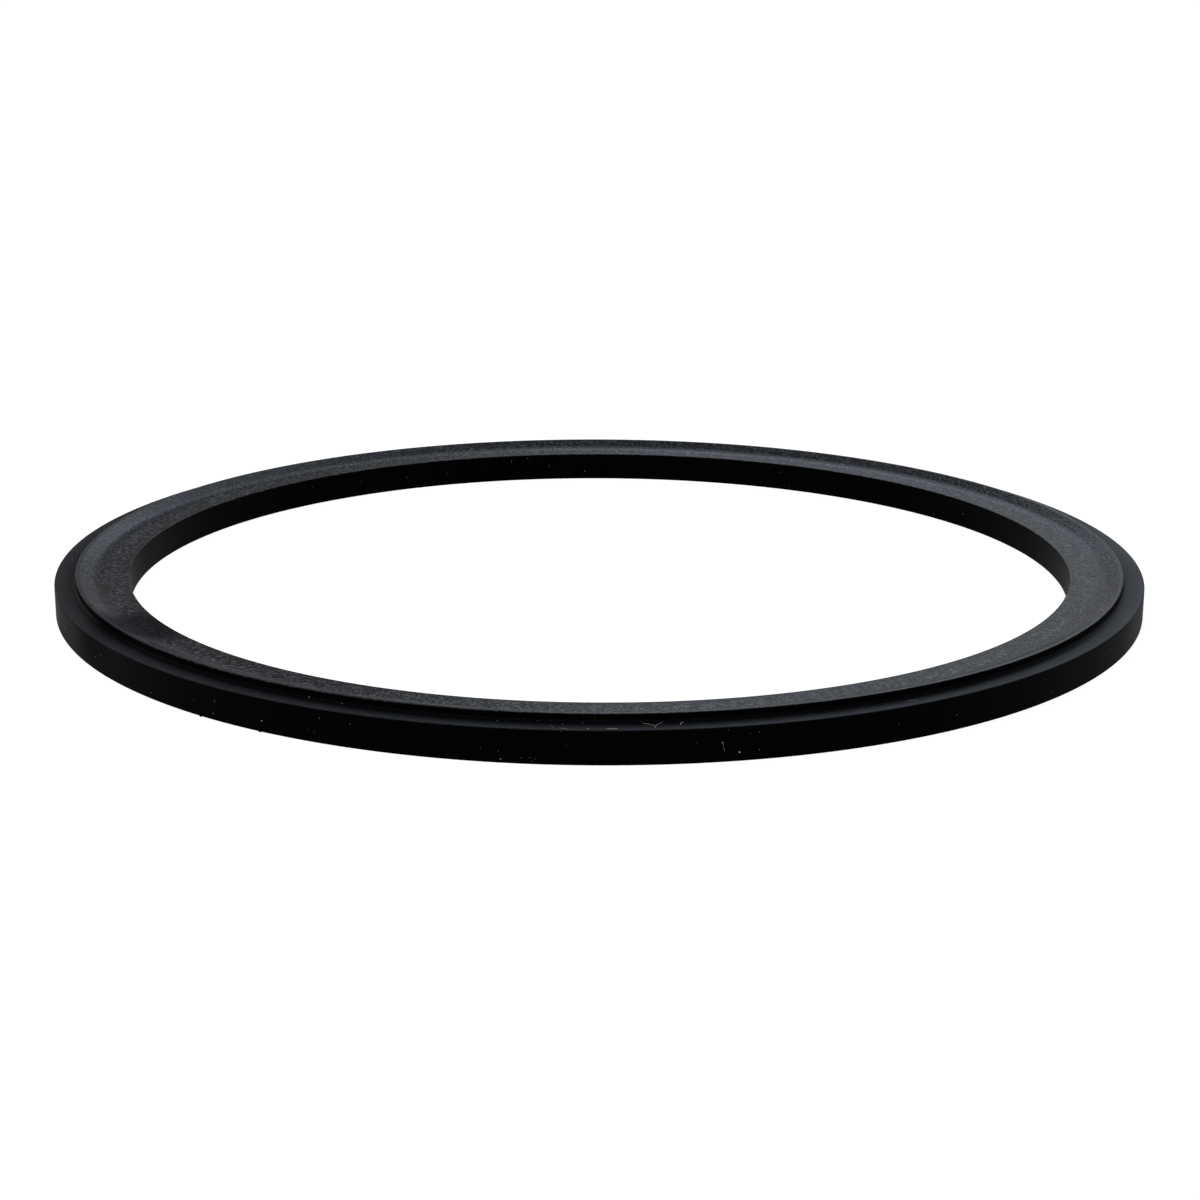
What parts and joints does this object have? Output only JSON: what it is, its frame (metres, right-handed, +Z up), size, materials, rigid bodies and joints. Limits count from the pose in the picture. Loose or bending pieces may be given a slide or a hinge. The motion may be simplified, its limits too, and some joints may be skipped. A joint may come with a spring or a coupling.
{
  "type": "ribbed gasket",
  "caption": "Flat moulded rubber sealing ring with a plain bore, a low sealing rib on its upper face and a narrow ledge outside the rib.",
  "frame": {"origin": "centre of the underside, on the ring's axis", "axes": "+Z up along the ring's axis, towards the face with the rib; the ring is round, so X and Y are free"},
  "size_m": [0.09, 0.09, 0.0031],
  "materials": {
    "black_rubber": "matt, fine-grained"
  },
  "bodies": {
    "root": {"gasket_ring": "black_rubber"}
  },
  "joints": []
}
